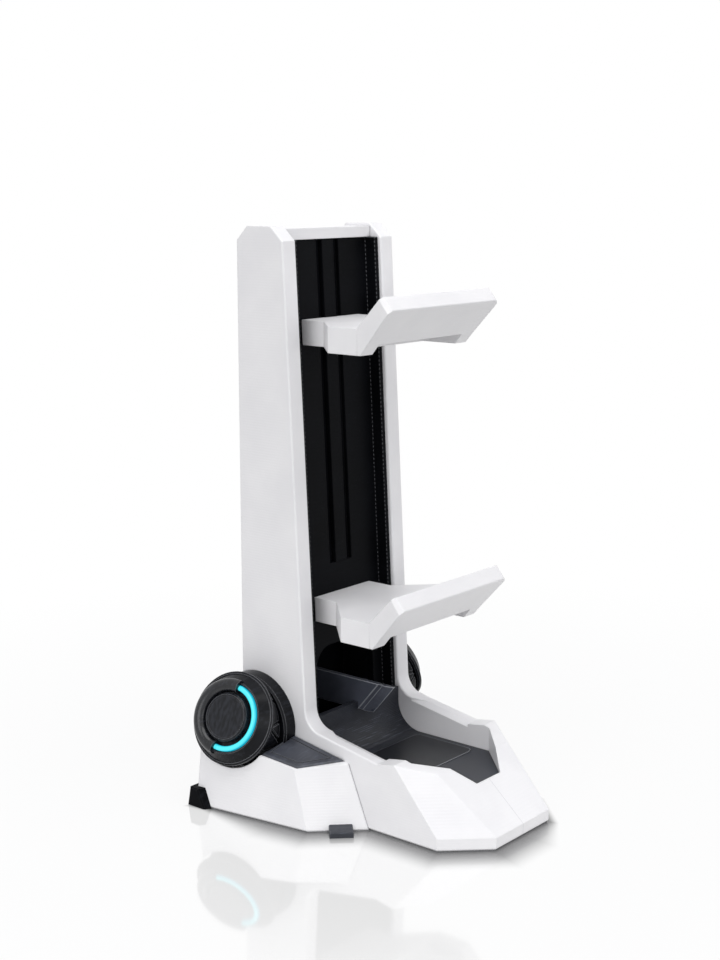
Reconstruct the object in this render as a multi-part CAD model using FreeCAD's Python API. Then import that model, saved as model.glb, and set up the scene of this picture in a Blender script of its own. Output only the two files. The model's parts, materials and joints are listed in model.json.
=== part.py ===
# Stand for two hand controllers: a two-plate column on a wedge-nosed foot with a round hub on each flank.
# Millimetres, Z up, the nose points along -Y, the origin lies on the floor under the middle of the outline.
import math
import os

import FreeCAD
import Part

Vec = FreeCAD.Vector
ORIGIN = Vec(0, 0, 0)
ALONG_X = Vec(1, 0, 0)
ALONG_Z = Vec(0, 0, 1)

# Stations are distances back from the nose tip
overall_length = 118.1
nose_tip_y = -overall_length / 2
corner_station = 15.2
tray_front_station = 15.3
nose_crest_station = 34.5
wall_end_station = 42.0
heel_inner_low_station = 44.6
heel_inner_high_station = 54.2
heel_outer_station = 61.2
column_station = 74.1
rear_station = overall_length - 10.6
heel_rear_station = overall_length - 8.1

# Column plates and the low walls they run into
rail_half_width = 31.0
rail_thickness = 7.0
column_height = 214.0
column_lean_deg = 3.1
bend_radius = 8.0
wall_end_height = 25.9
wall_pitch_deg = 9.8
wall_chamfer_width = 3.0
wall_chamfer_drop = 1.2
rail_edge_round = 0.7
column_top_chamfer = 5.0

# Nose wedge and the tray sunk in it
nose_front_half = 16.6
nose_band_height = 4.8
nose_slope_deg = 41.1
nose_crest_height = 27.2
nose_crown_deg = 14.0
tray_front_half = 7.2
nose_edge_round = 0.6

# Floor of the tray and the curve that carries it up the column
floor_height = 17.6
floor_thickness = 2.0
floor_curve_radius = 11.0
floor_wall_top = 34.0
floor_wall_depth = 2.4
panel_half_width = 21.0
panel_front_station = 37.0
panel_rear_station = 64.0
panel_corner_radius = 3.0
panel_sink = 1.2
panel_proud = 0.25

# Channel liner between the column plates
liner_setback = 1.5
liner_cheek = 1.8
liner_depth = 6.2
liner_back = 3.0
arch_half_width = 16.5
arch_top = 57.0
arch_corner_radius = 8.0
spine_half_width = 3.2
spine_groove = 3.1
spine_recess = 1.6
spine_proud = 0.3
spine_foot = 88.0
top_cap_thickness = 4.0
top_cap_sink = 1.0
rear_panel_thickness = 2.4
rear_panel_sink = 1.0

# Thin fin that stands out of the arch, with a raked and bevelled leading edge
fin_tip_station = 58.8
fin_top_height = 43.0
fin_foot_height = 31.2
fin_rake = 9.9
fin_half_thickness = 1.0
fin_edge_half = 0.25
fin_bevel = 3.9
fin_groove_offset = 1.1
fin_groove_width = 2.2
fin_groove_depth = 0.35

# Cradles
cradle_top_drop = 33.8
cradle_pitch = 103.3
cradle_reach = 32.2
cradle_floor = 5.6
cradle_rib_drop = 3.6
cradle_half_width = 30.6
cradle_lip_flare = 1.2
lip_rise = 11.7
lip_run = 11.7
lip_bevel_drop = 4.8
lip_bevel_run = 3.9
lip_foot_run = 4.5
rib_front_run = 1.5
rib_rear_reach = 19.1
rib_width = 6.6
root_half_width = 16.0
cradle_edge_round = 0.6
lip_corner_cut = 1.6

# Heel blocks and the plates let into their tops
heel_front_width = 16.2
heel_toe_deg = 8.2
heel_draft_deg = 6.8
heel_seam = 0.9
deck_front_height = 23.0
deck_rise_deg = 9.1
deck_fall_deg = 13.4
deck_sink = 1.2
deck_proud = 0.5
deck_margin = 0.9
deck_front_station = 57.0
deck_front_turn_deg = 39.0
deck_rear_station = 83.6
deck_bevel = 0.5
deck_line_inset = 2.0
deck_line_width = 0.5
deck_line_depth = 0.35

# Hubs: a flange square on the side plate, and a drum that toes in with the heel and tilts up out of it;
# the drum's backs, shoulders and faces are measured along its axis from the face of the flange
hub_height = 30.4
hub_tilt_deg = 23.0
hub_flange_radius = 18.55
hub_flange_depth = 5.5
hub_station = overall_length - hub_flange_radius
hub_radius = 17.4
hub_neck_gap = 1.2
hub_neck_radius = 16.4
hub_neck_groove_radius = 14.0
hub_neck_groove = 0.8
tread_count = 18
tread_notch_width = 1.3
tread_notch_depth = 0.8
tread_skew_deg = 25.0
hub_cap_back = 9.4
hub_cap_shoulder = 11.0
hub_cap_face = 14.6
hub_rim_face = 17.2
hub_disc_face = 16.4
hub_disc_radius = 9.0
hub_disc_dish = 0.4
hub_cone_radius = 13.4
hub_ridge_width = 0.9
hub_ridge_step = 0.4
hub_edge = 0.7
channel_radius = 12.9
channel_depth = 0.9
rim_inner_radius = 9.4
rim_outer_radius = 14.4
rim_wall = 0.5
rim_start_deg = -79.0
half_turn_deg = 180.0
ring_inner_radius = 10.6
ring_outer_radius = 12.5
ring_wall = 0.7
ring_crown = 1.8
hub_notch_clearance = 0.5

# Feet
side_foot_length = 8.6
side_foot_reach = 5.7
side_foot_tip = 2.0
side_foot_root = 2.5
side_foot_along = 0.475
rear_foot_height = 7.3
rear_foot_inset = 13.0
rear_foot_outset = 24.8
rear_foot_front_station = overall_length - 13.4
rear_foot_rear_station = overall_length - 4.6
rear_foot_front_rake = 3.2
rear_foot_rear_rake = 1.4
rear_foot_turn_deg = 29.0
foot_edge_round = 0.5

# Fits, the ease on edges that rest on the floor, and how far cutters run past what they cut
fit_gap = 0.15
floor_ease = 0.9
pick_tolerance = 0.01
cut_run = 1.0
overcut = 5.0
far = 400.0


def station(distance):
    return nose_tip_y + distance


def slope(angle_deg):
    return math.tan(math.radians(angle_deg))


def column_front(z):
    return station(column_station) + z * slope(column_lean_deg)


def wall_top(y):
    return wall_end_height + (y - station(wall_end_station)) * slope(wall_pitch_deg)


def deck_top(x, y):
    rise = (y - station(heel_inner_high_station)) * slope(deck_rise_deg)
    return deck_front_height + rise - (x - rail_half_width) * slope(deck_fall_deg)


def polygon(points):
    return Part.makePolygon(points + [points[0]])


def prism_across(outline, x_from, x_to):
    face = Part.Face(polygon([Vec(x_from, y, z) for y, z in outline]))
    return face.extrude(Vec(x_to - x_from, 0, 0))


def prism_up(outline, z_from, z_to):
    face = Part.Face(polygon([Vec(x, y, z_from) for x, y in outline]))
    return face.extrude(Vec(0, 0, z_to - z_from))


def both_sides(half_outline):
    return half_outline + [(-x, y) for x, y in reversed(half_outline)]


def cut_beyond(shape, point, normal):
    block = Part.makeBox(far, far, far, Vec(-far / 2, -far / 2, 0))
    block.Placement = FreeCAD.Placement(point, FreeCAD.Rotation(ALONG_Z, normal))
    return shape.cut(block)


def ease_foot(shape, point, outward):
    normal = outward + Vec(0, 0, -outward.Length)
    normal.normalize()
    return cut_beyond(shape, point - normal * (floor_ease / math.sqrt(2)), normal)


def plane_normal(a, b, c, outward):
    normal = (b - a).cross(c - a)
    normal.normalize()
    if normal.dot(outward) < 0:
        normal = normal * -1
    return normal


def leaning_sheet(from_depth, to_depth, z_from, z_to, x_from, x_to):
    outline = [
        (column_front(z_from) + from_depth, z_from),
        (column_front(z_from) + to_depth, z_from),
        (column_front(z_to) + to_depth, z_to),
        (column_front(z_to) + from_depth, z_to),
    ]
    return prism_across(outline, x_from, x_to)


def edge_middle(edge):
    return edge.valueAt((edge.FirstParameter + edge.LastParameter) / 2)


def round_edges(shape, radius, wanted):
    chosen = [edge for edge in shape.Edges if wanted(edge_middle(edge), edge)]
    return shape.makeFillet(radius, chosen)


def mirrored(shape):
    return shape.mirror(ORIGIN, ALONG_X)


def save(shape, name):
    solid = shape.removeSplitter()
    if len(solid.Solids) == 1:
        solid = solid.Solids[0]
    solid.exportStep("parts/" + name + ".step")


def save_pair(shape, name):
    save(shape, name + "_right")
    save(mirrored(shape), name + "_left")


os.makedirs("parts", exist_ok=True)

rail_inner = rail_half_width - rail_thickness
wall_end_y = station(wall_end_station)
rear_y = station(rear_station)
floor_seat = floor_height - floor_thickness
liner_top = column_height - top_cap_thickness - top_cap_sink


# Side plate of the body: low wall and column in one outline with a rounded bend and a fading inner chamfer
def wall_chamfer(bend_y):
    drop = wall_chamfer_drop * (wall_chamfer_width + cut_run) / wall_chamfer_width
    start_y = wall_end_y - cut_run
    start_z = wall_top(start_y)
    section = [
        Vec(rail_inner + wall_chamfer_width, start_y, start_z),
        Vec(rail_inner - cut_run, start_y, start_z - drop),
        Vec(rail_inner - cut_run, start_y, start_z + drop),
        Vec(rail_inner + wall_chamfer_width, start_y, start_z + drop),
    ]
    wedge = Part.Face(polygon(section)).extrude(Vec(0, far, far * slope(wall_pitch_deg)))
    turn = math.radians(90 - column_lean_deg - wall_pitch_deg)
    bend_start = bend_y - bend_radius * math.tan(turn / 2)
    end_normal = Vec(2 * wall_chamfer_width, wall_chamfer_width, 0)
    return cut_beyond(wedge, Vec(rail_inner, bend_start, 0), end_normal)


def side_plate():
    lean = slope(column_lean_deg)
    pitch = slope(wall_pitch_deg)
    bend_y = column_front(wall_top(station(column_station))) / (1 - lean * pitch)
    bend_y -= station(column_station) * lean * pitch / (1 - lean * pitch)
    bend_z = wall_top(bend_y)
    outline = [
        (wall_end_y, 0),
        (wall_end_y, wall_end_height),
        (bend_y, bend_z),
        (column_front(column_height - column_top_chamfer), column_height - column_top_chamfer),
        (column_front(column_height) + column_top_chamfer, column_height),
        (rear_y - column_top_chamfer, column_height),
        (rear_y, column_height - column_top_chamfer),
        (rear_y, 0),
    ]
    plate = prism_across(outline, rail_inner, rail_half_width)
    plate = round_edges(plate, bend_radius, lambda p, e: math.hypot(p.y - bend_y, p.z - bend_z) < cut_run)
    middle_x = rail_inner + rail_thickness / 2
    return round_edges(
        plate,
        rail_edge_round,
        lambda p, e: wall_end_height < p.z < column_height - cut_run
        and p.y < column_front(p.z) + bend_radius
        and abs(abs(p.x - middle_x) - rail_thickness / 2) < pick_tolerance,
    ).cut(wall_chamfer(bend_y))


# Nose: faceted wedge with a sunk tray, carried back between the side plates as their floor
def tray_outline(margin):
    corner_y = station(tray_front_station) + rail_inner - tray_front_half
    return both_sides([
        (rail_inner - margin, wall_end_y + overcut),
        (rail_inner - margin, corner_y + margin / 2),
        (tray_front_half - margin / 2, station(tray_front_station) + margin),
    ])


def nose():
    plan = both_sides([
        (rail_half_width, wall_end_y),
        (rail_half_width, station(corner_station)),
        (nose_front_half, nose_tip_y),
    ])
    body = prism_up(plan, 0, column_height / 4)
    front_angle = math.radians(nose_slope_deg)
    front_normal = Vec(0, -math.sin(front_angle), math.cos(front_angle))
    body = cut_beyond(body, Vec(0, nose_tip_y, nose_band_height), front_normal)
    for side in (1, -1):
        low_rear = Vec(side * rail_half_width, station(corner_station), nose_band_height)
        low_front = Vec(side * nose_front_half, nose_tip_y, nose_band_height)
        crest = Vec(side * rail_half_width, station(nose_crest_station), nose_crest_height)
        facet_normal = plane_normal(low_rear, low_front, crest, ALONG_Z)
        body = cut_beyond(body, crest, facet_normal)
    crest_y = station(nose_crest_station)
    crest = Vec(0, crest_y, nose_crest_height)
    crown = math.radians(nose_crown_deg)
    body = cut_beyond(body, crest, Vec(0, -math.sin(crown), math.cos(crown)))
    ramp_fall = nose_crest_height - wall_end_height
    body = cut_beyond(body, crest, Vec(0, ramp_fall, wall_end_y - crest_y))
    body = round_edges(
        body,
        nose_edge_round,
        lambda p, e: p.z > nose_band_height + cut_run
        and p.y < wall_end_y - cut_run
        and abs(p.x) < rail_half_width - pick_tolerance,
    )
    body = body.cut(prism_up(tray_outline(0), floor_seat, column_height))
    chassis = Part.makeBox(2 * rail_inner, rear_y - wall_end_y, floor_seat, Vec(-rail_inner, wall_end_y, 0))
    return body.fuse(chassis)


def body_frame():
    plate = side_plate()
    body = nose().fuse([plate, mirrored(plate)]).removeSplitter()
    body = ease_foot(body, Vec(0, nose_tip_y, 0), Vec(0, -1, 0))
    for side in (1, -1):
        corner = Vec(side * rail_half_width, station(corner_station), 0)
        corner_normal = Vec(side * corner_station, nose_front_half - rail_half_width, 0)
        body = ease_foot(body, corner, corner_normal.normalize())
        body = ease_foot(body, corner, Vec(side, 0, 0))
    return body


save(body_frame(), "body_frame")


# Floor liner: tray floor that sweeps up in front of the column, with a pocket for the loose panel
def rounded_plate(half_width, y_from, y_to, radius, z_from, z_to):
    plate = Part.makeBox(2 * half_width, y_to - y_from, z_to - z_from, Vec(-half_width, y_from, z_from))
    return round_edges(plate, radius, lambda p, e: abs(e.Length - (z_to - z_from)) < pick_tolerance)


def floor_liner():
    wall_y = column_front(floor_height + floor_curve_radius) + fit_gap
    curve_start_y = wall_y - floor_curve_radius
    curve_end_z = floor_height + floor_curve_radius
    curve_middle_y = curve_start_y + floor_curve_radius * math.sin(math.pi / 4)
    curve_middle_z = curve_end_z - floor_curve_radius * math.cos(math.pi / 4)
    x_from = -rail_inner - overcut
    corner = [
        Vec(x_from, nose_tip_y, floor_height),
        Vec(x_from, curve_start_y, floor_height),
        Vec(x_from, wall_y, curve_end_z),
        Vec(x_from, wall_y, floor_wall_top),
        Vec(x_from, wall_y + floor_wall_depth, floor_wall_top),
        Vec(x_from, wall_y + floor_wall_depth, floor_seat),
        Vec(x_from, nose_tip_y, floor_seat),
    ]
    curve = Part.Arc(corner[1], Vec(x_from, curve_middle_y, curve_middle_z), corner[2]).toShape()
    lines = [Part.makeLine(corner[0], corner[1]), curve]
    lines += [Part.makeLine(corner[i], corner[(i + 1) % len(corner)]) for i in range(2, len(corner))]
    sweep = Part.Face(Part.Wire(lines)).extrude(Vec(2 * (rail_inner + overcut), 0, 0))
    in_nose = prism_up(tray_outline(fit_gap), 0, column_height)
    front_part = cut_beyond(sweep.common(in_nose), Vec(0, wall_end_y, 0), Vec(0, 1, 0))
    between = Part.makeBox(2 * (rail_inner - fit_gap), far, far, Vec(-rail_inner + fit_gap, wall_end_y, 0))
    liner = front_part.fuse(sweep.common(between))
    pocket = rounded_plate(
        panel_half_width + fit_gap,
        station(panel_front_station) - fit_gap,
        station(panel_rear_station) + fit_gap,
        panel_corner_radius,
        floor_height - panel_sink,
        floor_height + overcut,
    )
    fin_slot = Part.makeBox(
        2 * (fin_half_thickness + fit_gap),
        far,
        far,
        Vec(-fin_half_thickness - fit_gap, curve_start_y, fin_foot_height),
    )
    return liner.cut(pocket).cut(fin_slot)


save(floor_liner(), "floor_liner")

floor_panel = rounded_plate(
    panel_half_width,
    station(panel_front_station),
    station(panel_rear_station),
    panel_corner_radius,
    floor_height - panel_sink,
    floor_height + panel_proud,
)
save(floor_panel, "floor_panel")


# Column liner: shallow channel between the side plates, open in an arch at its foot
def column_liner():
    half = rail_inner - fit_gap
    liner = leaning_sheet(liner_depth, liner_depth + liner_back, floor_wall_top, liner_top, -half, half)
    for side in (1, -1):
        edges = sorted([side * half, side * (half - liner_cheek)])
        cheek = leaning_sheet(liner_setback, liner_depth, floor_wall_top, liner_top, edges[0], edges[1])
        liner = liner.fuse(cheek)
    arch = Part.makeBox(
        2 * arch_half_width,
        far,
        arch_top,
        Vec(-arch_half_width, -far / 2, 0),
    )
    arch = round_edges(
        arch,
        arch_corner_radius,
        lambda p, e: p.z > arch_top - cut_run and abs(e.Length - far) < pick_tolerance,
    )
    recess_half = spine_half_width + spine_groove
    recess_depth = liner_depth + spine_recess
    recess = leaning_sheet(0, recess_depth, spine_foot, liner_top + overcut, -recess_half, recess_half)
    return liner.cut(arch).cut(recess)


save(column_liner(), "column_liner")

spine = leaning_sheet(
    liner_depth - spine_proud,
    liner_depth + spine_recess,
    spine_foot,
    liner_top,
    -spine_half_width,
    spine_half_width,
)
save(spine, "spine")

rear_panel = Part.makeBox(
    2 * (rail_inner - fit_gap),
    rear_panel_thickness,
    liner_top - floor_seat,
    Vec(-rail_inner + fit_gap, rear_y - rear_panel_sink - rear_panel_thickness, floor_seat),
)
save(rear_panel, "rear_panel")

cap_front_y = column_front(column_height) + column_top_chamfer
top_cap = Part.makeBox(
    2 * (rail_inner - fit_gap),
    rear_y - column_top_chamfer - cap_front_y,
    top_cap_thickness,
    Vec(-rail_inner + fit_gap, cap_front_y, liner_top),
)
save(top_cap, "top_cap")


# Fin: upright plate from the rear panel out through the arch, its leading edge raked and bevelled to a blade
def instep_fin():
    tip_y = station(fin_tip_station)
    back_y = rear_y - rear_panel_sink - rear_panel_thickness
    outline = [
        (tip_y, fin_top_height),
        (back_y, fin_top_height),
        (back_y, fin_foot_height),
        (tip_y + fin_rake, fin_foot_height),
    ]
    fin = prism_across(outline, -fin_half_thickness, fin_half_thickness)
    groove_y = tip_y + fin_bevel + fin_groove_offset
    groove = [
        (groove_y, fin_top_height),
        (groove_y + fin_groove_width, fin_top_height),
        (groove_y + fin_groove_width + fin_rake, fin_foot_height),
        (groove_y + fin_rake, fin_foot_height),
    ]
    floor_x = fin_half_thickness - fin_groove_depth
    for side in (1, -1):
        edge_top = Vec(side * fin_edge_half, tip_y, fin_top_height)
        edge_foot = Vec(side * fin_edge_half, tip_y + fin_rake, fin_foot_height)
        bevel_end = Vec(side * fin_half_thickness, tip_y + fin_bevel, fin_top_height)
        fin = cut_beyond(fin, edge_top, plane_normal(edge_top, edge_foot, bevel_end, Vec(side, 0, 0)))
        fin = fin.cut(prism_across(groove, side * floor_x, side * (fin_half_thickness + overcut)))
    return fin


save(instep_fin(), "instep_fin")


# Cradles: tilted lip with a bevelled top, floor on two ribs, and a root that narrows into the channel
def cradle(floor_z):
    front = column_front(floor_z)
    base_y = front - cradle_reach
    under_z = floor_z - cradle_floor - cradle_rib_drop
    bevel_y = base_y - lip_run - lip_bevel_run
    bevel_z = floor_z + lip_rise - lip_bevel_drop
    rib_y = base_y - rib_front_run
    foot_y = base_y - lip_foot_run
    wide = cradle_half_width + cradle_lip_flare
    lip = prism_across(
        [
            (base_y, floor_z),
            (base_y - lip_run, floor_z + lip_rise),
            (bevel_y, bevel_z),
            (foot_y, floor_z - cradle_floor),
            (rib_y, under_z),
            (base_y, under_z),
        ],
        -wide,
        wide,
    )
    for side in (1, -1):
        inner_foot = Vec(side * cradle_half_width, base_y, floor_z)
        outer_foot = Vec(side * cradle_half_width, rib_y, under_z)
        crown = Vec(side * wide, base_y - lip_run, floor_z + lip_rise)
        lip = cut_beyond(lip, inner_foot, plane_normal(inner_foot, outer_foot, crown, Vec(side, 0, 0)))
        bevel_length = math.hypot(lip_bevel_run, lip_bevel_drop)
        corner_normal = Vec(side, -lip_bevel_drop / bevel_length, lip_bevel_run / bevel_length)
        lip = cut_beyond(lip, crown - Vec(side * lip_corner_cut, 0, 0), corner_normal)
    taper_start = front - rib_rear_reach
    taper_end = taper_start + cradle_half_width - root_half_width
    plan = both_sides([
        (cradle_half_width, base_y),
        (cradle_half_width, taper_start),
        (root_half_width, taper_end),
        (root_half_width, front + liner_depth + overcut),
    ])
    root = prism_up(plan, under_z, floor_z)
    lean = math.radians(column_lean_deg)
    back_point = Vec(0, column_front(floor_z) + liner_depth, floor_z)
    root = cut_beyond(root, back_point, Vec(0, math.cos(lean), -math.sin(lean)))
    whole = lip.fuse(root).removeSplitter()
    clear_half = cradle_half_width - rib_width
    pocket = Part.makeBox(
        2 * clear_half,
        taper_start - rib_y + 2 * overcut,
        cradle_rib_drop + overcut,
        Vec(-clear_half, rib_y - 2 * overcut, under_z - overcut),
    )
    whole = whole.cut(pocket)
    whole = round_edges(
        whole,
        cradle_edge_round,
        lambda p, e: e.Length > 2 * clear_half and p.y < base_y and p.z > floor_z - cradle_floor + cut_run,
    )
    slot = leaning_sheet(
        liner_depth - spine_proud - fit_gap,
        liner_depth + overcut,
        under_z - overcut,
        floor_z + overcut,
        -spine_half_width - fit_gap,
        spine_half_width + fit_gap,
    )
    return whole.cut(slot) if floor_z > spine_foot else whole


upper_floor_z = column_height - cradle_top_drop
save(cradle(upper_floor_z), "upper_cradle")
save(cradle(upper_floor_z - cradle_pitch), "lower_cradle")


# Hub pieces: turned outlines are pairs of distance along the drum's axis and radius
def side_direction(lift_deg):
    toe = math.radians(heel_toe_deg)
    lift = math.radians(lift_deg)
    return Vec(math.cos(lift) * math.cos(toe), -math.cos(lift) * math.sin(toe), math.sin(lift))


hub_axis = side_direction(hub_tilt_deg)
heel_side = side_direction(heel_draft_deg)
hub_root = Vec(rail_half_width, station(hub_station), hub_height)
hub_seat = hub_root + ALONG_X * hub_flange_depth


def set_on_hub(shape, start_deg):
    shape.rotate(ORIGIN, ALONG_X, start_deg)
    seat = FreeCAD.Placement(hub_seat, FreeCAD.Rotation(ALONG_X, hub_axis))
    shape.Placement = seat.multiply(shape.Placement)
    return shape


def turned(outline, start_deg=0.0, sweep_deg=360.0):
    face = Part.Face(polygon([Vec(x, radius, 0) for x, radius in outline]))
    return set_on_hub(face.revolve(ORIGIN, ALONG_X, sweep_deg), start_deg)


def hub_flange():
    plate = Part.makeCylinder(hub_flange_radius, hub_flange_depth, hub_root, ALONG_X)
    rim = [edge for edge in plate.Edges if abs(edge.CenterOfMass.x - hub_seat.x) < pick_tolerance]
    plate = plate.makeChamfer(hub_edge, rim)
    return plate.fuse(Part.makeCylinder(hub_neck_groove_radius, hub_neck_gap, hub_seat, ALONG_X))


save_pair(hub_flange(), "hub_flange")


def hub_neck():
    band_end = hub_cap_back - hub_neck_groove
    neck = turned([
        (-hub_neck_radius, 0),
        (-hub_neck_radius, hub_neck_radius),
        (band_end, hub_neck_radius),
        (band_end, hub_neck_groove_radius),
        (hub_cap_back, hub_neck_groove_radius),
        (hub_cap_back, 0),
    ])
    neck = cut_beyond(neck, hub_seat + ALONG_X * hub_neck_gap, Vec(-1, 0, 0))
    length = 2 * band_end
    corner = Vec(-length / 2, -tread_notch_width / 2, 0)
    for turn in range(tread_count):
        notch = Part.makeBox(length, tread_notch_width, overcut, corner)
        notch.rotate(ORIGIN, ALONG_Z, tread_skew_deg if turn % 2 else -tread_skew_deg)
        notch.translate(Vec(band_end / 2, 0, hub_neck_radius - tread_notch_depth))
        neck = neck.cut(set_on_hub(notch, turn * 360 / tread_count))
    return neck


save_pair(hub_neck(), "hub_neck")

channel_floor = hub_cap_face - channel_depth
hub_cap = turned([
    (hub_cap_back, 0),
    (hub_cap_back, hub_radius - hub_edge),
    (hub_cap_back + hub_edge, hub_radius),
    (hub_cap_shoulder, hub_radius),
    (hub_cap_shoulder + hub_ridge_step, hub_radius - hub_ridge_width),
    (hub_cap_shoulder, hub_radius - hub_ridge_width),
    (hub_cap_face, hub_cone_radius),
    (hub_cap_face, channel_radius),
    (channel_floor, channel_radius),
    (channel_floor, 0),
])
save_pair(hub_cap, "hub_cap")


# A rim tube over one half of the channel and a light bead in the other half
def half_ring(feet, crown_height, start_deg):
    inner, outer = feet[0], feet[-1]
    crown = Vec(crown_height, (inner.y + outer.y) / 2, 0)
    sides = [Part.makeLine(feet[i], feet[i + 1]) for i in range(len(feet) - 1)]
    face = Part.Face(Part.Wire(sides + [Part.Arc(outer, crown, inner).toShape()]))
    return set_on_hub(face.revolve(ORIGIN, ALONG_X, half_turn_deg), start_deg)


def hub_rim():
    cone_run = hub_radius - hub_ridge_width - hub_cone_radius
    cone_fall = (hub_cap_face - hub_cap_shoulder) * (rim_outer_radius - hub_cone_radius) / cone_run
    feet = [
        Vec(hub_cap_face + rim_wall, rim_inner_radius, 0),
        Vec(channel_floor, rim_inner_radius, 0),
        Vec(channel_floor, channel_radius, 0),
        Vec(hub_cap_face, channel_radius, 0),
        Vec(hub_cap_face, hub_cone_radius, 0),
        Vec(hub_cap_face - cone_fall, rim_outer_radius, 0),
        Vec(hub_cap_face + rim_wall, rim_outer_radius, 0),
    ]
    return half_ring(feet, hub_rim_face, rim_start_deg)


save_pair(hub_rim(), "hub_rim")


def light_ring():
    wall_top_height = channel_floor + ring_wall
    feet = [
        Vec(wall_top_height, ring_inner_radius, 0),
        Vec(channel_floor, ring_inner_radius, 0),
        Vec(channel_floor, ring_outer_radius, 0),
        Vec(wall_top_height, ring_outer_radius, 0),
    ]
    return half_ring(feet, channel_floor + ring_crown, rim_start_deg + half_turn_deg)


save_pair(light_ring(), "light_ring")

hub_disc = turned([
    (channel_floor, 0),
    (channel_floor, hub_disc_radius),
    (hub_disc_face - hub_edge, hub_disc_radius),
    (hub_disc_face, hub_disc_radius - hub_edge),
    (hub_disc_face - hub_disc_dish, hub_disc_radius - 2 * hub_edge),
    (hub_disc_face - hub_disc_dish, 0),
])
save_pair(hub_disc, "hub_disc")


# Heels: faceted blocks beside the side plates, notched for the hub, with a plate let into the sloping top
def hub_clearance():
    depth = hub_flange_depth + hub_notch_clearance
    bore = Part.makeCylinder(hub_flange_radius + fit_gap, depth, hub_root, ALONG_X)
    radius = hub_radius + hub_notch_clearance
    drum = turned([(-radius, 0), (-radius, radius), (hub_rim_face, radius), (hub_rim_face, 0)])
    return bore.fuse(cut_beyond(drum, hub_seat, Vec(-1, 0, 0)))


def on_deck(x, y):
    return Vec(x, y, deck_top(x, y))


deck_normal = Vec(slope(deck_fall_deg), -slope(deck_rise_deg), 1)
deck_normal.normalize()


toe_corner = Vec(rail_half_width + heel_front_width, station(heel_outer_station), 0)
inner_low = Vec(rail_half_width, station(heel_inner_low_station), 0)
inner_high = Vec(rail_half_width, station(heel_inner_high_station), deck_front_height)
heel_front_normal = plane_normal(toe_corner, inner_low, inner_high, Vec(1, -1, 0))


def heel_block():
    depth = station(heel_rear_station) - inner_low.y
    block = Part.makeBox(far / 4, depth, far / 4, inner_low)
    block = cut_beyond(block, toe_corner, heel_side)
    block = cut_beyond(block, inner_low, heel_front_normal)
    return cut_beyond(block, inner_high, deck_normal)


def deck_slab(low, high, inset):
    x_from = rail_half_width - overcut
    x_to = rail_half_width + 2 * heel_front_width
    y_to = station(deck_rear_station) - inset
    corners = [
        on_deck(x_from, inner_low.y),
        on_deck(x_to, inner_low.y),
        on_deck(x_to, y_to),
        on_deck(x_from, y_to),
    ]
    under = Part.Face(polygon([corner + deck_normal * low for corner in corners]))
    slab = under.extrude(deck_normal * (high - low))
    slab = cut_beyond(slab, Vec(rail_half_width + fit_gap + inset, 0, 0), Vec(-1, 0, 0))
    slab = cut_beyond(slab, toe_corner - heel_side * (deck_margin + inset), heel_side)
    turn = math.radians(deck_front_turn_deg)
    front_normal = Vec(math.sin(turn), -math.cos(turn), 0)
    front = Vec(rail_half_width, station(deck_front_station), 0)
    return cut_beyond(slab, front - front_normal * inset, front_normal)


heel_blank = heel_block()
heel = heel_blank.cut(hub_clearance())
heel = heel.cut(deck_slab(-deck_sink, overcut, -fit_gap))
seam_normal = heel_front_normal + Vec(-1, 0, 0)
seam_normal.normalize()
heel = cut_beyond(heel, inner_low - seam_normal * heel_seam, seam_normal)
heel = ease_foot(heel, toe_corner, heel_side)
heel = ease_foot(heel, toe_corner, heel_front_normal)
save_pair(heel, "heel")


def above_deck(edge):
    return (edge_middle(edge) - inner_high).dot(deck_normal)


deck = deck_slab(-deck_sink, deck_proud, 0)
deck_rim = [edge for edge in deck.Edges if above_deck(edge) > deck_proud - pick_tolerance]
deck = deck.makeChamfer(deck_bevel, deck_rim)
line_floor = deck_proud - deck_line_depth
line = deck_slab(line_floor, overcut, deck_line_inset)
line = line.cut(deck_slab(line_floor, overcut, deck_line_inset + deck_line_width))
deck = deck.cut(line).cut(hub_clearance())
save_pair(deck, "deck")


# Feet: low tabs on the slanted front faces of the heels and blocks that wrap their rear corners
def side_foot():
    run_y = station(heel_outer_station) - station(heel_inner_low_station)
    turn_deg = math.degrees(math.atan2(run_y, heel_front_width))
    climb = (side_foot_root - side_foot_tip) / side_foot_reach
    profile = [
        (-side_foot_reach, 0),
        (-side_foot_reach, side_foot_tip),
        (overcut, side_foot_root + climb * overcut),
        (overcut, 0),
    ]
    foot = prism_across(profile, -side_foot_length / 2, side_foot_length / 2)
    foot = round_edges(
        foot,
        foot_edge_round,
        lambda p, e: p.z > side_foot_tip / 2 and p.y < overcut - cut_run,
    )
    foot.rotate(ORIGIN, ALONG_Z, turn_deg)
    middle_x = rail_half_width + heel_front_width * side_foot_along
    middle_y = station(heel_inner_low_station) + run_y * side_foot_along
    foot.translate(Vec(middle_x, middle_y, 0))
    return foot.cut(heel_blank)


save_pair(side_foot(), "side_foot")


def rear_foot():
    front_y = station(rear_foot_front_station)
    end_y = station(rear_foot_rear_station)
    inner_x = rail_half_width + rear_foot_inset
    outer_x = rail_half_width + rear_foot_outset
    profile = [
        (front_y - overcut, 0),
        (front_y - overcut, rear_foot_height),
        (end_y - rear_foot_rear_rake, rear_foot_height),
        (end_y, 0),
    ]
    foot = prism_across(profile, inner_x, outer_x)
    turn = math.radians(rear_foot_turn_deg)
    rake = rear_foot_front_rake / rear_foot_height
    foot = cut_beyond(foot, Vec(outer_x, front_y, 0), Vec(math.sin(turn), -math.cos(turn), rake))
    outer_edges = [edge for edge in foot.Edges if edge_middle(edge).x > outer_x - pick_tolerance]
    upper_edges = [edge for edge in outer_edges if edge_middle(edge).z > foot_edge_round]
    foot = foot.makeChamfer(foot_edge_round, upper_edges)
    return foot.cut(heel_blank)


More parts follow.
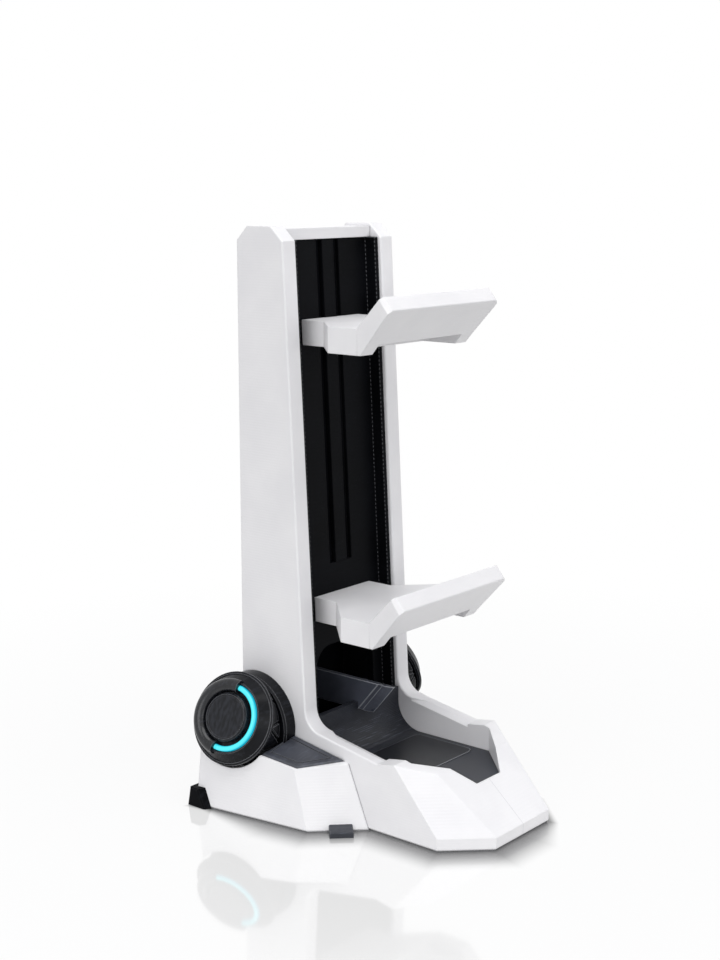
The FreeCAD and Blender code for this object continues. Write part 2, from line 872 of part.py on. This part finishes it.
save_pair(rear_foot(), "rear_foot")
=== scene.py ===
import json
import math

import bmesh
import bpy
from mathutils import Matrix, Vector

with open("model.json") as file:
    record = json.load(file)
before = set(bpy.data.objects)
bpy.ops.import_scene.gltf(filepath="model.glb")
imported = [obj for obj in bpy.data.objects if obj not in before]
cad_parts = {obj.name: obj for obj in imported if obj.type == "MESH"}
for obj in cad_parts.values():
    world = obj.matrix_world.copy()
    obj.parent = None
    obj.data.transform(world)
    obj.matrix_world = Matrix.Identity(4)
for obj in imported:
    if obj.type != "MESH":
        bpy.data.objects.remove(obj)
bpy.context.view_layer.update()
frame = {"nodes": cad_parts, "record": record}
scene = bpy.context.scene
scene.view_settings.view_transform = "Standard"


# Shader helpers
def add_node(tree, kind, **settings):
    node = tree.nodes.new(kind)
    for name, value in settings.items():
        setattr(node, name, value)
    return node


def wire(tree, source, target):
    tree.links.new(source, target)


def feed(tree, socket, value):
    if isinstance(value, (int, float)):
        socket.default_value = value
    elif isinstance(value, tuple):
        socket.default_value = value if socket.type == "VECTOR" else (*value, 1.0)
    else:
        wire(tree, value, socket)


def math_node(tree, operation, first, second=0.0, clamp=False):
    node = add_node(tree, "ShaderNodeMath", operation=operation, use_clamp=clamp)
    feed(tree, node.inputs[0], first)
    feed(tree, node.inputs[1], second)
    return node.outputs[0]


def dot_product(tree, first, second):
    node = add_node(tree, "ShaderNodeVectorMath", operation="DOT_PRODUCT")
    feed(tree, node.inputs[0], first)
    feed(tree, node.inputs[1], second)
    return node.outputs["Value"]


def span(tree, value, low, high, to_low=0.0, to_high=1.0):
    node = add_node(tree, "ShaderNodeMapRange")
    wire(tree, value, node.inputs["Value"])
    for label, number in zip(("From Min", "From Max", "To Min", "To Max"), (low, high, to_low, to_high)):
        node.inputs[label].default_value = number
    return node.outputs["Result"]


def blend_colours(tree, factor, first, second):
    node = add_node(tree, "ShaderNodeMix", data_type="RGBA")
    wire(tree, factor, node.inputs["Factor"])
    feed(tree, node.inputs["A"], first)
    feed(tree, node.inputs["B"], second)
    return node.outputs["Result"]


def weighted_sum(tree, *terms):
    total = math_node(tree, "MULTIPLY", *terms[0])
    for value, share in terms[1:]:
        total = math_node(tree, "ADD", total, math_node(tree, "MULTIPLY", value, share))
    return total


def new_group(name, inputs, outputs):
    group = bpy.data.node_groups.new(name, "ShaderNodeTree")
    for label, default in inputs:
        socket = group.interface.new_socket(label, in_out="INPUT", socket_type="NodeSocketFloat")
        socket.default_value = default
    for label, kind in outputs:
        group.interface.new_socket(label, in_out="OUTPUT", socket_type="NodeSocket" + kind)
    return group, group.nodes.new("NodeGroupInput").outputs, group.nodes.new("NodeGroupOutput").inputs


def object_place(tree):
    place = tree.nodes.new("ShaderNodeTexCoord").outputs["Object"]
    split = tree.nodes.new("ShaderNodeSeparateXYZ")
    wire(tree, place, split.inputs[0])
    return place, split.outputs


# Printed surface: stacked layers up the height, raster strokes on level faces, terrace lines on slopes,
# a fine grain, a broad mottle and upright streaks
def make_print_group():
    names = ("Layers", "Strokes", "Terraces", "Grain", "Mottle", "Streaks")
    group, given, result = new_group(
        "printed_surface",
        [("Layer Height", 0.0002), ("Stroke Width", 0.0005), ("Grain Scale", 2500.0), ("Mottle Scale", 60.0)],
        [(name, "Float") for name in names],
    )
    place, axis = object_place(group)
    step = math_node(group, "DIVIDE", axis["Z"], given["Layer Height"])
    layers = math_node(group, "MULTIPLY", math_node(group, "PINGPONG", step, 0.5), 2.0)
    wire(group, layers, result["Layers"])
    across = math_node(group, "ADD", axis["X"], axis["Y"])
    stroke = math_node(group, "PINGPONG", math_node(group, "DIVIDE", across, given["Stroke Width"]), 0.5)
    facing = group.nodes.new("ShaderNodeSeparateXYZ")
    wire(group, group.nodes.new("ShaderNodeNewGeometry").outputs["Normal"], facing.inputs[0])
    flatness = math_node(group, "ABSOLUTE", facing.outputs["Z"])
    # A stroke rises to a half, so level faces double it
    level = span(group, flatness, 0.94, 0.99, 0.0, 2.0)
    wire(group, math_node(group, "MULTIPLY", stroke, level), result["Strokes"])

    def noise(scale, detail, stretch):
        mapping = group.nodes.new("ShaderNodeMapping")
        mapping.inputs["Scale"].default_value = stretch
        wire(group, place, mapping.inputs["Vector"])
        texture = group.nodes.new("ShaderNodeTexNoise")
        texture.inputs["Detail"].default_value = detail
        wire(group, mapping.outputs[0], texture.inputs["Vector"])
        wire(group, given[scale], texture.inputs["Scale"])
        return texture.outputs["Fac"]

    wire(group, noise("Grain Scale", 2.0, (1.0, 1.0, 1.0)), result["Grain"])
    wire(group, noise("Mottle Scale", 4.0, (1.0, 1.0, 1.0)), result["Mottle"])
    wire(group, noise("Grain Scale", 1.0, (1.0, 1.0, 0.06)), result["Streaks"])
    off_wall = span(group, flatness, 0.1, 0.3)
    off_level = span(group, flatness, 0.95, 0.995, 1.0, 0.0)
    slope = math_node(group, "MULTIPLY", off_wall, off_level)
    ridge = math_node(group, "MULTIPLY", slope, span(group, layers, 0.6, 0.9))
    patchy = span(group, noise("Grain Scale", 2.0, (0.06, 0.3, 0.3)), 0.5, 0.66)
    wire(group, math_node(group, "MULTIPLY", ridge, patchy), result["Terraces"])
    return group


# Eased edge: a normal rounded over the edges, and a mask of where it turns away from the face
def make_edge_group():
    group, given, result = new_group(
        "eased_edge",
        [("Radius", 0.0004)],
        [("Normal", "Vector"), ("Edge", "Float")],
    )
    rounded = add_node(group, "ShaderNodeBevel", samples=6)
    wire(group, given["Radius"], rounded.inputs["Radius"])
    face = group.nodes.new("ShaderNodeNewGeometry").outputs["Normal"]
    turn = dot_product(group, rounded.outputs["Normal"], face)
    wire(group, span(group, turn, 0.99, 0.85), result["Edge"])
    wire(group, rounded.outputs["Normal"], result["Normal"])
    return group


# Narrow gap shade: how deep a point lies in a groove or an inner corner, which sets painted shade there
def make_gap_shade_group():
    group, given, result = new_group("narrow_gap_shade", [("Reach", 0.0015)], [("Gap Shade", "Float")])
    open_air = add_node(group, "ShaderNodeAmbientOcclusion", samples=6)
    wire(group, given["Reach"], open_air.inputs["Distance"])
    wire(group, span(group, open_air.outputs["AO"], 0.15, 0.5, 1.0, 0.0), result["Gap Shade"])
    return group


# Nose seam: a hairline down the middle of the front slope
def make_seam_group():
    group, given, result = new_group(
        "nose_seam",
        [("Half Width", 0.00012), ("Rear End", -0.0437)],
        [("Seam", "Float")],
    )
    axis = object_place(group)[1]
    near = math_node(group, "LESS_THAN", math_node(group, "ABSOLUTE", axis["X"]), given["Half Width"])
    ahead = math_node(group, "LESS_THAN", axis["Y"], given["Rear End"])
    wire(group, math_node(group, "MULTIPLY", near, ahead), result["Seam"])
    return group


# Column hollow: the inner faces of the hollow behind the channel, which the finish colours dark
def make_hollow_dark_group():
    group, given, result = new_group(
        "column_hollow_dark",
        [("Half Width", 0.0241), ("Front", 0.027), ("Rear", 0.0475), ("Foot", 0.012), ("Head", 0.19)],
        [("Hollow Dark", "Float")],
    )
    axis = object_place(group)[1]
    mask = math_node(group, "LESS_THAN", math_node(group, "ABSOLUTE", axis["X"]), given["Half Width"])
    for letter, low, high in (("Y", "Front", "Rear"), ("Z", "Foot", "Head")):
        mask = math_node(group, "MULTIPLY", mask, math_node(group, "GREATER_THAN", axis[letter], given[low]))
        mask = math_node(group, "MULTIPLY", mask, math_node(group, "LESS_THAN", axis[letter], given[high]))
    wire(group, mask, result["Hollow Dark"])
    return group


# Cyan bead: how far a point stands up along the hub's axis, from the foot of the bead to its crown, where its
# painted highlight is brightest
def make_bead_group():
    group, given, result = new_group(
        "bead_crown",
        [("Foot", 0.0146), ("Crown", 0.01545)],
        [("Crown", "Float")],
    )
    axis = object_place(group)[1]
    folded = group.nodes.new("ShaderNodeCombineXYZ")
    wire(group, math_node(group, "ABSOLUTE", axis["X"]), folded.inputs["X"])
    wire(group, axis["Y"], folded.inputs["Y"])
    wire(group, axis["Z"], folded.inputs["Z"])
    # The hub's tilt, toe and seat, as the part has them
    tilt = math.radians(23.0)
    toe = math.radians(8.2)
    hub_axis = Vector((math.cos(tilt) * math.cos(toe), -math.cos(tilt) * math.sin(toe), math.sin(tilt)))
    seat = Vector((0.0365, 0.0405, 0.0304))
    reach = dot_product(group, folded.outputs[0], tuple(hub_axis))
    along = math_node(group, "SUBTRACT", reach, hub_axis.dot(seat))
    rise = math_node(group, "SUBTRACT", along, given["Foot"])
    height = math_node(group, "SUBTRACT", given["Crown"], given["Foot"])
    wire(group, math_node(group, "DIVIDE", rise, height, clamp=True), result["Crown"])
    return group


print_group = make_print_group()
edge_group = make_edge_group()
gap_shade_group = make_gap_shade_group()
seam_group = make_seam_group()
hollow_dark_group = make_hollow_dark_group()
bead_group = make_bead_group()


def group_node(tree, group, **values):
    node = add_node(tree, "ShaderNodeGroup", node_tree=group)
    for label, value in values.items():
        node.inputs[label.replace("_", " ").title()].default_value = value
    return node.outputs


# The channel's cheeks stand outside this distance from the middle
cheek_inner = 0.0219

# Colours laid over the white plastic: a seam line, painted shade in gaps and corners, and the dark hollow
seam_grey = (0.7, 0.7, 0.72)
gap_shade_grey = (0.3, 0.3, 0.32)
hollow_black = (0.006, 0.006, 0.008)


class Finish:
    """One plastic finish: colour, gloss and relief from the shared groups on a Principled shader."""

    def __init__(self, name, edge_radius, **print_values):
        self.material = bpy.data.materials.new(name)
        self.material.use_nodes = True
        self.tree = self.material.node_tree
        self.shader = self.tree.nodes["Principled BSDF"].inputs
        self.surface = group_node(self.tree, print_group, **print_values)
        self.edge = group_node(self.tree, edge_group, radius=edge_radius)

    def colour(self, dark, light, edge, dotted_glints=False):
        patch = span(self.tree, self.surface["Mottle"], 0.35, 0.65)
        tone = blend_colours(self.tree, patch, dark, light)
        edge_amount = self.edge["Edge"]
        # Painted glints, dotted along the layers, on the edges of the channel's cheeks
        if dotted_glints:
            glint_dots = span(self.tree, self.surface["Layers"], 0.3, 0.7)
            across = math_node(self.tree, "ABSOLUTE", object_place(self.tree)[1]["X"])
            on_cheek = math_node(self.tree, "GREATER_THAN", across, cheek_inner)
            cheek_glint_dots = math_node(self.tree, "MULTIPLY", glint_dots, on_cheek)
            edge_amount = math_node(self.tree, "MULTIPLY", edge_amount, cheek_glint_dots)
        # Painted highlight along the eased edges
        return blend_colours(self.tree, edge_amount, tone, edge)

    def gloss(self, low, high, edge_drop):
        rough = span(self.tree, self.surface["Mottle"], 0.3, 0.7, low, high)
        edge_amount = math_node(self.tree, "MULTIPLY", self.edge["Edge"], edge_drop)
        wire(self.tree, math_node(self.tree, "SUBTRACT", rough, edge_amount), self.shader["Roughness"])

    def relief(self, depth, *terms):
        bump = self.tree.nodes.new("ShaderNodeBump")
        bump.inputs["Distance"].default_value = depth
        wire(self.tree, weighted_sum(self.tree, *terms), bump.inputs["Height"])
        wire(self.tree, self.edge["Normal"], bump.inputs["Normal"])
        wire(self.tree, bump.outputs["Normal"], self.shader["Normal"])


def white_shell(name, on_body):
    finish = Finish(name, edge_radius=0.0005, layer_height=0.001)
    colour = finish.colour(dark=(0.84, 0.835, 0.85), light=(0.88, 0.875, 0.885), edge=(0.92, 0.92, 0.92))
    relief = [
        (finish.surface["Layers"], 0.5),
        (finish.surface["Strokes"], 0.2),
        (finish.surface["Grain"], 0.6),
    ]
    if on_body:
        seam = group_node(finish.tree, seam_group)["Seam"]
        colour = blend_colours(finish.tree, seam, colour, seam_grey)
        relief.append((seam, -1.0))
    # Painted shade in grooves and inner corners
    gap = group_node(finish.tree, gap_shade_group)["Gap Shade"]
    colour = blend_colours(finish.tree, gap, colour, gap_shade_grey)
    if on_body:
        hollow_dark = group_node(finish.tree, hollow_dark_group)["Hollow Dark"]
        colour = blend_colours(finish.tree, hollow_dark, colour, hollow_black)
    wire(finish.tree, colour, finish.shader["Base Color"])
    finish.gloss(low=0.36, high=0.48, edge_drop=0.1)
    finish.relief(0.00003, *relief)
    return finish.material


def bluish(level):
    return (level, level * 1.1, level * 1.42)


# Tint of the painted highlight along eased edges
def edge_highlight_tint(level):
    return (level, level * 1.03, level * 1.1)


def black_shell(
    name,
    level,
    edge,
    rough,
    specular,
    depth=0.00004,
    layer_share=0.6,
    dotted_glints=False,
    edge_radius=0.0003,
    **print_values,
):
    gap_shade_tone = bluish(level * 0.2)
    terrace_glint_tone = bluish(level * 3.0 + 0.02)
    finish = Finish(name, edge_radius, **print_values)
    tone = finish.colour(bluish(level * 0.75), bluish(level * 1.3), edge_highlight_tint(edge), dotted_glints)
    # Painted shade in grooves and inner corners
    gap = group_node(finish.tree, gap_shade_group, reach=0.001)["Gap Shade"]
    tone = blend_colours(finish.tree, gap, tone, gap_shade_tone)
    # Real print terraces on slopes, lightened as painted glints
    tone = blend_colours(finish.tree, finish.surface["Terraces"], tone, terrace_glint_tone)
    wire(finish.tree, tone, finish.shader["Base Color"])
    finish.shader["Specular IOR Level"].default_value = specular
    finish.gloss(*rough, edge_drop=0.08)
    finish.relief(
        depth,
        (finish.surface["Layers"], layer_share),
        (finish.surface["Strokes"], 0.3),
        (finish.surface["Grain"], 0.5),
    )
    return finish.material


def brushed_black(name, level, edge, rough, specular):
    finish = Finish(name, edge_radius=0.0003, grain_scale=900.0)
    streak = span(finish.tree, finish.surface["Streaks"], 0.35, 0.65)
    tone = blend_colours(finish.tree, streak, bluish(level * 0.6), bluish(level * 1.7))
    # Painted highlight along the eased edges
    tone = blend_colours(finish.tree, finish.edge["Edge"], tone, edge_highlight_tint(edge))
    wire(finish.tree, tone, finish.shader["Base Color"])
    finish.shader["Specular IOR Level"].default_value = specular
    finish.gloss(*rough, edge_drop=0.08)
    finish.relief(0.000008, (finish.surface["Streaks"], 1.0), (finish.surface["Grain"], 0.2))
    return finish.material


# Cyan bead: a painted glow from emission, though the bead is no lamp, brightest at the crown as a painted
# highlight
def ring_glow():
    finish = Finish("ring_glow", edge_radius=0.0001)
    crown = group_node(finish.tree, bead_group)["Crown"]
    base = finish.colour(dark=(0.0, 0.1, 0.14), light=(0.0, 0.13, 0.17), edge=(0.0, 0.16, 0.2))
    wire(finish.tree, base, finish.shader["Base Color"])
    glow = blend_colours(finish.tree, crown, (0.0, 0.4, 0.58), (0.1, 0.9, 0.96))
    wire(finish.tree, glow, finish.shader["Emission Color"])
    finish.shader["Emission Strength"].default_value = 0.9
    finish.gloss(low=0.12, high=0.2, edge_drop=0.02)
    finish.relief(0.00001, (finish.surface["Grain"], 0.3))
    return finish.material


white_plain = white_shell("white_shell", on_body=False)
white_body = white_shell("white_body", on_body=True)

# Black finishes by the start of the node's name; the longer hub names come before the plain one
blacks = {
    "floor_liner": black_shell(
        "tray_black",
        level=0.026,
        edge=0.09,
        rough=(0.3, 0.42),
        specular=0.25,
        depth=0.00008,
        layer_share=0.9,
        layer_height=0.0006,
    ),
    "floor_panel": black_shell(
        "panel_black",
        level=0.012,
        edge=0.4,
        rough=(0.28, 0.38),
        specular=0.2,
        edge_radius=0.0007,
    ),
    "instep_fin": black_shell(
        "fin_black",
        level=0.07,
        edge=0.5,
        rough=(0.26, 0.36),
        specular=0.5,
        edge_radius=0.0006,
        layer_height=0.0004,
    ),
    # Deck: its black raised as painted sheen, standing in for reflection of the surround
    "deck": black_shell(
        "deck_black_painted_sheen",
        level=0.042,
        edge=0.13,
        rough=(0.3, 0.4),
        specular=0.5,
        stroke_width=0.0008,
    ),
    "hub_rim": black_shell(
        "rim_black",
        level=0.008,
        edge=0.15,
        rough=(0.16, 0.24),
        specular=0.45,
        depth=0.00001,
        layer_share=0.2,
    ),
    "hub_disc": brushed_black(
        "disc_black",
        level=0.011,
        edge=0.16,
        rough=(0.24, 0.34),
        specular=0.22,
    ),
    "hub": black_shell(
        "hub_black",
        level=0.005,
        edge=0.2,
        rough=(0.18, 0.26),
        specular=0.14,
        depth=0.000015,
        layer_share=0.3,
        edge_radius=0.0005,
        mottle_scale=120.0,
    ),
    "side_foot": black_shell(
        "side_foot_black",
        level=0.028,
        edge=0.12,
        rough=(0.4, 0.5),
        specular=0.35,
        grain_scale=1800.0,
    ),
    "rear_foot": black_shell(
        "rear_foot_black",
        level=0.003,
        edge=0.05,
        rough=(0.5, 0.6),
        specular=0.04,
        grain_scale=1800.0,
    ),
}
# Channel and the remaining blacks: darkened as painted shade, standing in for shadow cast into the channel
channel_black_painted_shade = black_shell(
    "channel_black_painted_shade",
    level=0.003,
    edge=0.15,
    rough=(0.4, 0.5),
    specular=0.04,
    dotted_glints=True,
    edge_radius=0.0007,
    layer_height=0.0016,
)
lit_ring = ring_glow()


def finish_for(node, slot):
    if slot == "cyan_ring":
        return lit_ring
    if slot == "white_plastic":
        return white_body if node == "body_frame" else white_plain
    for start, finish in blacks.items():
        if node.startswith(start):
            return finish
    return channel_black_painted_shade


for part in frame["record"]["subparts"]:
    for holder in frame["nodes"][part["node"]].material_slots:
        holder.material = finish_for(part["node"], part["material_slot"])


# Studio: a pale mirror-like floor under an even white surround, both brighter to the eye than as lights
def light_path_mask(tree):
    path = tree.nodes.new("ShaderNodeLightPath").outputs
    seen = math_node(tree, "ADD", path["Is Camera Ray"], path["Is Glossy Ray"])
    return math_node(tree, "ADD", seen, path["Is Transmission Ray"], clamp=True)


# Base outline of one half, the nose and the heel: each edge has the shares of X and Y in its outward
# direction and its distance from the middle
nose_base = ((0.0, -1.0, 0.0591), (0.726, -0.688, 0.0527), (1.0, 0.0, 0.031), (0.0, 1.0, 0.0509))
heel_base = ((0.716, -0.698, 0.03205), (0.99, -0.143, 0.0463), (0.0, 1.0, 0.0509))


# How far a floor point lies outside one of these outlines
def outside(tree, across, along, outline):
    farthest = None
    for x_share, y_share, offset in outline:
        reach = math_node(tree, "SUBTRACT", weighted_sum(tree, (across, x_share), (along, y_share)), offset)
        farthest = reach if farthest is None else math_node(tree, "MAXIMUM", farthest, reach)
    return farthest


# Contact shade around the base: its width in front and on the left, its width to the right and rear, and
# the stretches of X and Y over which the one turns into the other
shade_wide = 0.016
shade_narrow = 0.004
right_turn = (0.0, 0.018)
rear_turn = (0.015, 0.045)

# Floor: its matte grey, what it adds to the eye and what it gives as light, its mirror's share near the
# middle and further out, and the distances over which the mirror weakens and the floor turns plain white
floor_grey = (0.12, 0.12, 0.12, 1.0)
floor_seen = 0.85
floor_lighting = 0.58
mirror_roughness = 0.06
mirror_near = 0.21
mirror_away = 0.12
mirror_stretch = (0.07, 0.2)
far_lighting = 0.4
far_stretch = (0.12, 0.34)

# Surround: what it gives as light, and that light's colour
surround_lighting = 0.62
surround_tint = (0.965, 0.968, 1.0)
white = (1.0, 1.0, 1.0)


def pale_floor():
    material = bpy.data.materials.new("pale_floor")
    material.use_nodes = True
    tree = material.node_tree
    tree.nodes.remove(tree.nodes["Principled BSDF"])
    seen = light_path_mask(tree)
    place, axis = object_place(tree)
    across = math_node(tree, "ABSOLUTE", axis["X"])
    nose_gap = outside(tree, across, axis["Y"], nose_base)
    heel_gap = outside(tree, across, axis["Y"], heel_base)
    gap = math_node(tree, "MINIMUM", nose_gap, heel_gap)
    right_width = span(tree, axis["X"], *right_turn, shade_wide, shade_narrow)
    rear_width = span(tree, axis["Y"], *rear_turn, shade_wide, shade_narrow)
    width = math_node(tree, "MINIMUM", right_width, rear_width)
    reach = math_node(tree, "DIVIDE", gap, width, clamp=True)
    eased = add_node(tree, "ShaderNodeMapRange", interpolation_type="SMOOTHSTEP")
    wire(tree, reach, eased.inputs["Value"])
    openness = eased.outputs["Result"]
    matte = add_node(tree, "ShaderNodeBsdfDiffuse")
    matte.inputs["Color"].default_value = floor_grey
    lift = add_node(tree, "ShaderNodeEmission")
    seen_part = math_node(tree, "MULTIPLY", math_node(tree, "MULTIPLY", seen, floor_seen), openness)
    strength = math_node(tree, "ADD", seen_part, span(tree, seen, 0.0, 1.0, floor_lighting, 0.0))
    wire(tree, strength, lift.inputs["Strength"])
    under = add_node(tree, "ShaderNodeAddShader")
    wire(tree, matte.outputs[0], under.inputs[0])
    wire(tree, lift.outputs[0], under.inputs[1])
    mirror = add_node(tree, "ShaderNodeBsdfGlossy")
    mirror.inputs["Roughness"].default_value = mirror_roughness
    feed(tree, mirror.inputs["Color"], white)
    away = add_node(tree, "ShaderNodeVectorMath", operation="LENGTH")
    wire(tree, place, away.inputs[0])
    distance = away.outputs["Value"]
    near = add_node(tree, "ShaderNodeMixShader")
    wire(tree, span(tree, distance, *mirror_stretch, mirror_near, mirror_away), near.inputs["Fac"])
    wire(tree, under.outputs[0], near.inputs[1])
    wire(tree, mirror.outputs[0], near.inputs[2])
    far = add_node(tree, "ShaderNodeEmission")
    wire(tree, span(tree, seen, 0.0, 1.0, far_lighting, 1.0), far.inputs["Strength"])
    top = add_node(tree, "ShaderNodeMixShader")
    wire(tree, span(tree, distance, *far_stretch), top.inputs["Fac"])
    wire(tree, near.outputs[0], top.inputs[1])
    wire(tree, far.outputs[0], top.inputs[2])
    wire(tree, top.outputs[0], tree.nodes["Material Output"].inputs["Surface"])
    return material


def studio_floor():
    mesh = bpy.data.meshes.new("studio_floor")
    shape = bmesh.new()
    bmesh.ops.create_circle(shape, cap_ends=True, segments=64, radius=30.0)
    shape.to_mesh(mesh)
    shape.free()
    mesh.materials.append(pale_floor())
    floor = bpy.data.objects.new("studio_floor", mesh)
    scene.collection.objects.link(floor)


studio_floor()


def surround():
    world = bpy.data.worlds.new("surround")
    world.use_nodes = True
    scene.world = world
    tree = world.node_tree
    sky = tree.nodes["Background"]
    seen = light_path_mask(tree)
    wire(tree, blend_colours(tree, seen, surround_tint, white), sky.inputs["Color"])
    wire(tree, span(tree, seen, 0.0, 1.0, surround_lighting, 1.0), sky.inputs["Strength"])


surround()


def soft_lamp(name, place, aim, size, power):
    lamp = bpy.data.lights.new(name, "AREA")
    lamp.shape = "DISK"
    lamp.size = size
    lamp.energy = power
    holder = bpy.data.objects.new(name, lamp)
    holder.location = place
    holder.rotation_euler = (Vector(aim) - Vector(place)).to_track_quat("-Z", "Y").to_euler()
    scene.collection.objects.link(holder)


soft_lamp("overhead_lamp", place=(-0.1, -0.2, 1.2), aim=(0.0, 0.0, 0.05), size=1.0, power=6.0)
soft_lamp("left_lamp", place=(-1.1, -0.1, 0.6), aim=(0.0, 0.0, 0.08), size=0.9, power=3.6)
soft_lamp("front_lamp", place=(-0.05, -1.25, 0.25), aim=(0.0, 0.0, 0.08), size=0.9, power=2.3)


# Camera solved from corner points of the stand, for a picture of 720 by 960
focal_pixels = 1589.57
picture_height = 960
camera = bpy.data.cameras.new("camera")
camera.sensor_fit = "VERTICAL"
camera.sensor_height = 36.0
camera.lens = focal_pixels * camera.sensor_height / picture_height
camera.clip_start = 0.01
viewer = bpy.data.objects.new("camera", camera)
viewer.location = (-0.4477, -0.35525, 0.2317)
viewer.rotation_euler = (math.radians(79.159), 0.0, math.radians(-50.289))
scene.collection.objects.link(viewer)
scene.camera = viewer
